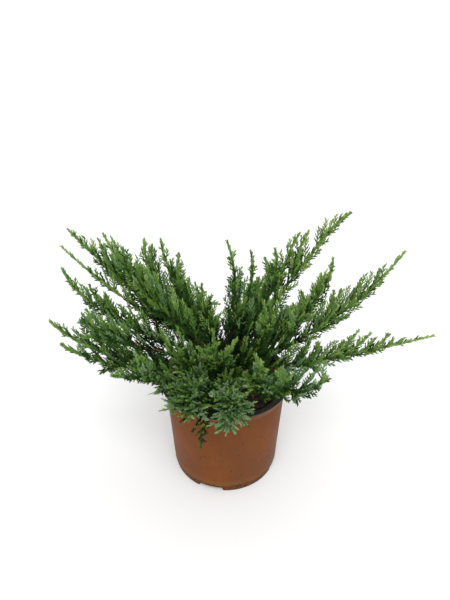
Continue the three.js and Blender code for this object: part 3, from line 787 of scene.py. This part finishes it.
def compost_finish():
    finish = Finish("compost", srgb(32, 23, 17), 0.95)
    crumbs = finish.ramp(finish.noise(260, 6), (0.35, 0), (0.65, 1))
    fibres = finish.ramp(finish.noise(420, 3, (1, 0.3, 1)), (0.6, 0), (0.7, 1))
    colour = finish.mix(crumbs, srgb(18, 13, 10), srgb(46, 33, 23))
    finish.set("Base Color", finish.mix(fibres * 0.6, colour, srgb(80, 56, 36)))
    finish.bump(crumbs, 0.8, 0.0012)
    return finish.material


def wood_finish(name, dark, light, rough=0.8, grain=520):
    finish = Finish(name, light, rough)
    plates = finish.ramp(finish.noise(grain, 5), (0.38, 0), (0.62, 1))
    finish.set("Base Color", finish.mix(plates, dark, light))
    finish.bump(plates, 0.6, 0.0006)
    return finish.material


def green_finish(name, colour):
    """Needles or twigs of one green. The colour is plain, and only the gloss varies."""
    finish = Finish(name, colour, 0.55)
    finish.set("Roughness", finish.noise(300, 2) * 0.2 + 0.45)
    finish.set("Specular IOR Level", 0.08)
    return finish.material


GREENS = {
    "deep": srgb(44, 74, 30),
    "mid": srgb(92, 126, 54),
    "light": srgb(114, 146, 72),
    "fresh": srgb(134, 156, 92),
    "blue": srgb(90, 124, 74),
    "pale": srgb(114, 142, 98),
    "shade": srgb(22, 38, 16),
}
TERRACOTTA, BLACK = terracotta_finish(), black_plastic_finish()
COMPOST = compost_finish()
CHIPS = wood_finish("bark_chips", srgb(34, 22, 14), srgb(96, 62, 34), rough=0.9, grain=300)
BARK = wood_finish("old_bark", srgb(30, 20, 13), srgb(82, 54, 30))
YOUNG_BARK = wood_finish("young_bark", srgb(86, 50, 22), srgb(128, 84, 38), rough=0.65)
GREEN_BARK = wood_finish("green_bark", srgb(112, 120, 36), srgb(146, 146, 54), rough=0.6)
TWIG = green_finish("green_twigs", srgb(60, 86, 38))
NEEDLES = [green_finish("needles_" + name, GREENS[name]) for name in GREEN_NAMES]

# The pot


def new_piece(name, shape, finishes, smooth_angle=None):
    mesh = bpy.data.meshes.new(name)
    shape.to_mesh(mesh)
    shape.free()
    for finish in finishes:
        mesh.materials.append(finish)
    if smooth_angle:
        mesh.polygons.foreach_set("use_smooth", np.ones(len(mesh.polygons), bool))
        mesh.set_sharp_from_angle(angle=math.radians(smooth_angle))
    piece = bpy.data.objects.new(name, mesh)
    bpy.context.scene.collection.objects.link(piece)
    return piece


def turned(outline, segments):
    """A shape turned about the pot's axis, in metres, from pairs of radius and height in millimetres."""
    shape = bmesh.new()
    corners = [shape.verts.new((radius * MM, 0, height * MM)) for radius, height in outline]
    edges = [shape.edges.new(pair) for pair in zip(corners, corners[1:])]
    bmesh.ops.spin(
        shape, geom=corners + edges, cent=(0, 0, 0), axis=(0, 0, 1), angle=2 * math.pi,
        steps=segments, use_merge=True, use_duplicate=False,
    )
    bmesh.ops.remove_doubles(shape, verts=shape.verts, dist=1e-6)
    bmesh.ops.recalc_face_normals(shape, faces=shape.faces)
    return shape


def pot_piece():
    """The turned pot, with its notches pushed up, its black inside and its drilled drain holes."""
    inner_foot = WALL_FOOT_RADIUS - WALL
    outline = [
        (0, 0),
        (CENTRE_PAD_RADIUS - 1, 0),
        (CENTRE_PAD_RADIUS, 0.6),
        (CENTRE_PAD_RADIUS + 3, RECESS_HEIGHT),
        (FOOT_RING_INNER_RADIUS - 2, RECESS_HEIGHT),
        (FOOT_RING_INNER_RADIUS, 0),
        (FOOT_RADIUS - 1, 0),
        (FOOT_RADIUS, 0.7),
        (WALL_FOOT_RADIUS - 0.4, BEVEL_HEIGHT - 0.6),
        (WALL_FOOT_RADIUS - 0.3, NOTCH_HEIGHT + 0.4),
        (WALL_FOOT_RADIUS + 0.8, NOTCH_HEIGHT + 1.2),
        (0.5 * (WALL_FOOT_RADIUS + WALL_TOP_RADIUS), 0.5 * BAND_FOOT),
        (WALL_TOP_RADIUS - 0.1, BAND_FOOT - 2.2),
        (WALL_TOP_RADIUS - 0.6, BAND_FOOT - 1.2),
        (WALL_TOP_RADIUS, BAND_FOOT - 0.4),
        (BAND_FOOT_RADIUS - 0.3, BAND_FOOT + 0.1),
        (BAND_FOOT_RADIUS, BAND_FOOT + 0.7),
        (RIM_RADIUS - 0.1, POT_HEIGHT - 1),
        (RIM_RADIUS, POT_HEIGHT - 0.6),
        (RIM_RADIUS - 0.6, POT_HEIGHT),
        (RIM_RADIUS - LIP, POT_HEIGHT - 2.2),
        (RIM_RADIUS - LIP - 0.8, POT_HEIGHT - 3.4),
        (BAND_FOOT_RADIUS - RIM_THICKNESS, BAND_FOOT),
        (inner_foot + 0.5, FLOOR_TOP + 4),
        (inner_foot - 0.6, FLOOR_TOP + 1),
        (inner_foot - 3, FLOOR_TOP),
        (0, FLOOR_TOP),
    ]
    shape = turned(outline, segments=180)
    for corner in shape.verts:
        radius, angle = math.hypot(corner.co.x, corner.co.y) / MM, math.atan2(corner.co.y, corner.co.x)
        if corner.co.z < (BEVEL_HEIGHT + 1) * MM and radius > FOOT_RING_INNER_RADIUS - 1:
            step = 2 * math.pi / NOTCH_COUNT
            off = (angle - math.radians(NOTCH_FIRST) + step / 2) % step - step / 2
            if abs(off) < math.asin(0.5 * NOTCH_WIDTH / FOOT_RADIUS):
                corner.co.z = (RECESS_HEIGHT - 0.6) * MM
                if radius > FOOT_RADIUS - 0.5:
                    corner.co.z = NOTCH_HEIGHT * MM
    rim_middle = RIM_RADIUS - RIM_THICKNESS
    slope = (rim_middle - inner_foot) / (POT_HEIGHT - FLOOR_TOP)
    for face in shape.faces:
        middle = face.calc_center_median() / MM
        radius = math.hypot(middle.x, middle.y)
        inward = face.normal.x * middle.x + face.normal.y * middle.y < -0.2 * radius
        on_floor = middle.z > FLOOR_TOP - 0.1 and radius < inner_foot + slope
        inside = inward and middle.z > FLOOR_TOP or on_floor or middle.z > POT_HEIGHT - 1
        face.material_index = 1 if inside else 0
    piece = new_piece("pot_shell", shape, [TERRACOTTA, BLACK], smooth_angle=32)
    drills = bmesh.new()
    for i in range(DRAIN_COUNT):
        turn = Matrix.Rotation(2 * math.pi * (i + 0.5) / DRAIN_COUNT, 4, "Z")
        bmesh.ops.create_cone(
            drills, cap_ends=True, segments=16, radius1=DRAIN_RADIUS * MM, radius2=DRAIN_RADIUS * MM,
            depth=3 * FLOOR_TOP * MM, matrix=turn @ Matrix.Translation((DRAIN_RING * MM, 0, 0)),
        )
    drill = new_piece("drill", drills, [TERRACOTTA])
    cut = piece.modifiers.new("drain_holes", "BOOLEAN")
    cut.object, cut.solver = drill, "EXACT"
    bpy.context.view_layer.update()
    drilled = piece.evaluated_get(bpy.context.evaluated_depsgraph_get())
    mesh = bpy.data.meshes.new_from_object(drilled)
    piece.modifiers.clear()
    piece.data = mesh
    mesh.name = "pot_shell"
    bpy.data.objects.remove(drill)
    return piece


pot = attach(pot_piece(), "root")
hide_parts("pot")

# Compost, with loose bark chips lying on it


def soil_height(x, y):
    """The uneven top of the compost, in millimetres, for a place on it."""
    radius = math.hypot(x, y)
    crown = SOIL_TOP - SOIL_EDGE_DROP * min(1, radius / SOIL_RADIUS) ** 2
    lumps = noise.noise(Vector((x / 17, y / 17, 3))) * 1.6 + noise.noise(Vector((x / 5, y / 5, 8))) * 0.9
    return crown - 1.2 + lumps


def compost_piece():
    edge = SOIL_TOP - SOIL_EDGE_DROP
    inner = WALL_FOOT_RADIUS - WALL
    slope = (BAND_FOOT_RADIUS - RIM_THICKNESS - inner) / (BAND_FOOT - FLOOR_TOP - 2)
    edge_radius = inner + slope * (edge - FLOOR_TOP - 2) - 2 * CLEARANCE
    outline = [
        (0, FLOOR_TOP + CLEARANCE),
        (inner - 3.6, FLOOR_TOP + CLEARANCE),
        (inner - 2 * CLEARANCE, FLOOR_TOP + 2.5),
        (edge_radius - 0.4, edge - 2),
    ]
    outline += [(radius, SOIL_TOP) for radius in np.linspace(edge_radius - 0.4, 0, 34)]
    shape = turned(outline, segments=110)
    for corner in shape.verts:
        if corner.co.z > (edge + 1) * MM:
            corner.co.z = soil_height(corner.co.x / MM, corner.co.y / MM) * MM
    return new_piece("compost_filling", shape, [COMPOST], smooth_angle=60), edge_radius


compost, compost_radius = compost_piece()
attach(compost, "root")
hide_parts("compost")


def chip_surface(count):
    """Flat splinters of bark, each turned its own way, lying on the compost."""
    box = np.array([[x, y, z] for x in (-1, 1) for y in (-1, 1) for z in (-1, 1)], float)
    box[[0, 6]] *= (0.6, 0.7, 1)  # two corners are pulled in
    sides = [(0, 1, 3, 2), (4, 6, 7, 5), (0, 4, 5, 1), (2, 3, 7, 6), (0, 2, 6, 4), (1, 5, 7, 3)]
    template = np.array([[(a, b, c), (a, c, d)] for a, b, c, d in sides]).reshape(-1, 3)
    corners = []
    for i in range(count):
        draw = [float(chance(3, i, purpose)) for purpose in range(20, 28)]
        reach = (compost_radius - 5) * math.sqrt(0.04 + 0.96 * draw[0])
        x, y = reach * math.cos(6.283 * draw[1]), reach * math.sin(6.283 * draw[1])
        turn = Matrix.Rotation(6.283 * draw[2], 3, "Z") @ Matrix.Rotation(0.7 * (draw[3] - 0.5), 3, "Y")
        turn = turn @ Matrix.Rotation(0.7 * (draw[7] - 0.5), 3, "X")
        half = (1.2 + 4.2 * draw[4] ** 2, 0.7 + 1.5 * draw[5], 0.4 + 0.6 * draw[6])
        corners.append(box * half @ np.array(turn).T + (x, y, soil_height(x, y) + 0.3))
    faces = template[None] + 8 * np.arange(count)[:, None, None]
    return np.concatenate(corners), faces.reshape(-1, 3)


chips = piece_from("bark_chips", *chip_surface(count=520), CHIPS)

# Trunk and boughs, with the relief of stringy bark


def trunk_piece():
    """The trunk, extruded ring by ring, then flared, leant and given its bark."""
    foot = SOIL_TOP + CLEARANCE
    shape = bmesh.new()
    ring = bmesh.ops.create_circle(shape, cap_ends=True, segments=48, radius=1)["verts"]
    bmesh.ops.translate(shape, verts=ring, vec=(0, 0, foot * MM))
    top = [face for face in shape.faces]
    heights = np.linspace(foot, TRUNK_TOP, 36)
    for height in heights[1:]:
        made = bmesh.ops.extrude_face_region(shape, geom=top)["geom"]
        context = "FACES_ONLY" if height > heights[1] else "FACES_KEEP_BOUNDARY"
        bmesh.ops.delete(shape, geom=top, context=context)
        top = [item for item in made if isinstance(item, bmesh.types.BMFace)]
        for corner in top[0].verts:
            corner.co.z = height * MM
    for corner in shape.verts:
        height, angle = corner.co.z / MM, math.atan2(corner.co.y, corner.co.x)
        rise = height - foot
        radius = TRUNK_RADIUS + (TRUNK_TOP_RADIUS - TRUNK_RADIUS) * rise / (TRUNK_TOP - foot)
        flare = (FLARE_RADIUS - TRUNK_RADIUS) * max(0, 1 - rise / (1.4 * FLARE_HEIGHT)) ** 2
        radius += flare * (1 + 0.25 * math.cos(5 * angle + 1))
        radius *= min(1, 0.55 + 0.45 * (TRUNK_TOP - height) / 4)
        strips = noise.noise(Vector((3.2 * math.cos(angle), 3.2 * math.sin(angle), height / 16)))
        flakes = noise.noise(Vector((9 * math.cos(angle), 9 * math.sin(angle), height / 5)))
        radius += 0.9 * strips + 0.4 * flakes
        lean = TRUNK_LEAN * (height - SOIL_TOP)
        corner.co.x = (lean + radius * math.cos(angle)) * MM
        corner.co.y = radius * math.sin(angle) * MM
    bmesh.ops.recalc_face_normals(shape, faces=shape.faces)
    return new_piece("trunk_bark", shape, [BARK], smooth_angle=50)


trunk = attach(trunk_piece(), "root")
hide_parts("trunk")


def bark_relief(path, turn):
    """Ridges that wind along a limb, as shares of its radius."""
    run = path[..., 0:1] * 0.9 + path[..., 1:2] * 0.7 + path[..., 2:3] * 1.1
    ridges = 0.09 * np.sin(3 * turn + 0.11 * run) + 0.07 * np.sin(5 * turn - 0.37 * run + 1)
    knots = 0.08 * np.sin(1.3 * run + 2 * turn) * np.sin(0.23 * run)
    return 1 + ridges + knots


# Shares of a leader that old bark and then young bark cover beyond its bare bough

OLD_BARK, YOUNG = 0.14, 0.2
OPEN_OLD_BARK, OPEN_YOUNG = 0.1, 0.06  # on light plumes, whose stems are green from further in
FORK_BARK, FORK_GREEN = 0.35, 0.34  # where young bark ends on a fork, and where the green stem starts
YOUNG_OVERLAP, GREEN_OVERLAP = 0.015, 0.01  # how far each starts inside the bark before it

open_plume = np.array([plume.greens == "light" for plume in PLUMES])
wood_end = leader_start + np.where(open_plume, OPEN_OLD_BARK, OLD_BARK)
young_end = wood_end + np.where(open_plume, OPEN_YOUNG, YOUNG)

old_bark = tubes(leaders, 0, wood_end, foot=2.5, tip=1.5, steps=34, sides=10, relief=bark_relief)
boughs = piece_from("boughs_bark", *old_bark, BARK, smooth=True)
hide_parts(*sorted(name for name in NODES if name.endswith("_bough")))

young_bark = joined_surfaces([
    tubes(leaders, wood_end - YOUNG_OVERLAP, young_end, 1.55, 1.1, steps=14, sides=7, relief=bark_relief),
    tubes(forks, 0, FORK_BARK, foot=1.3, tip=1, steps=10, sides=7, relief=bark_relief),
])
young = piece_from("young_stems", *young_bark, YOUNG_BARK, smooth=True)

# The thin twig without leaves that sticks out under the foliage at the left of the rim
bare_twig = Shoots([(-48, -40, 180)], [(-78, -54, 170)], [(-105, -60, 163)], seed=[0], size=[0], green=[0])

green_bark = joined_surfaces([
    tubes(leaders, young_end - GREEN_OVERLAP, 1, foot=1.6, tip=0.4, steps=20, sides=6),
    tubes(forks, FORK_GREEN, 1, foot=1.1, tip=0.3, steps=14, sides=6),
    tubes(bare_twig, 0, 1, foot=1.1, tip=0.7, steps=9, sides=6),
])
green_stems = piece_from("green_stems", *green_bark, GREEN_BARK, smooth=True)

twig_bark = joined_surfaces([
    tubes(laterals, 0, 1, foot=0.35 + 0.011 * laterals.size, tip=0.2, steps=5, sides=4),
    tubes(sprays, 0, 1, foot=0.62, tip=0.5, steps=2, sides=3),
])
twigs = piece_from("twigs", *twig_bark, TWIG)

# Needles, dealt out to one piece for each green

NEEDLE_LIMIT = 46000  # needles in one piece, of four faces each
NEEDLE_START = 0.55  # share of a stem from which it carries needles itself


def needle_pieces():
    stem_green = dealt(stems.green, chance(stems.seed, 3, 5))
    stem_batch = Shoots(stems.root, stems.bend, stems.tip, stems.seed, stems.size, stem_green)
    first_needle = np.maximum(NEEDLE_START, clad_start)
    groups = [
        needles_on(sprays, 1.25, np.zeros(len(sprays)), length=4, width=2.1, spread=30),
        needles_on(laterals, 1.25, np.zeros(len(laterals)), length=4, width=2, spread=32),
        needles_on(stem_batch, 0.8, first_needle, length=5.1, width=2.5, spread=35, fade=0.12),
    ]
    root, heading, outward, size, width, green = (np.concatenate(part) for part in zip(*groups))
    made = []
    for number, name in enumerate(GREEN_NAMES):
        chosen = np.flatnonzero(green == number)
        parts = max(1, math.ceil(len(chosen) / NEEDLE_LIMIT))
        for part, some in enumerate(np.array_split(chosen, parts)):
            surface = needle_surface(root[some], heading[some], outward[some], size[some], width[some])
            piece = piece_from(f"needles_{name}_{part + 1}", *surface, NEEDLES[number])
            made.append(piece)
    return made


needles = needle_pieces()
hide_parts(*sorted(name for name in NODES if name.endswith("_foliage")))

# Floor and light


def stage_piece():
    shape = bmesh.new()
    bmesh.ops.create_grid(shape, x_segments=1, y_segments=1, size=60)
    finish = Finish("pale_floor", (0.74, 0.74, 0.74), 0.9)
    finish.set("Roughness", finish.noise(2, 2) * 0.05 + 0.88)
    return new_piece("floor", shape, [finish.material])


stage_piece()

sun = bpy.data.objects.new("key", bpy.data.lights.new("key", "SUN"))
sun.data.energy, sun.data.angle = 2.2, math.radians(40)
sun.rotation_euler = (math.radians(38), 0, math.radians(2))
bpy.context.scene.collection.objects.link(sun)
world = bpy.data.worlds.new("studio")
world.use_nodes = True
world.node_tree.nodes["Background"].inputs["Color"].default_value = (1, 1, 1, 1)
world.node_tree.nodes["Background"].inputs["Strength"].default_value = 1.0
bpy.context.scene.world = world
bpy.context.scene.view_settings.view_transform = "Standard"
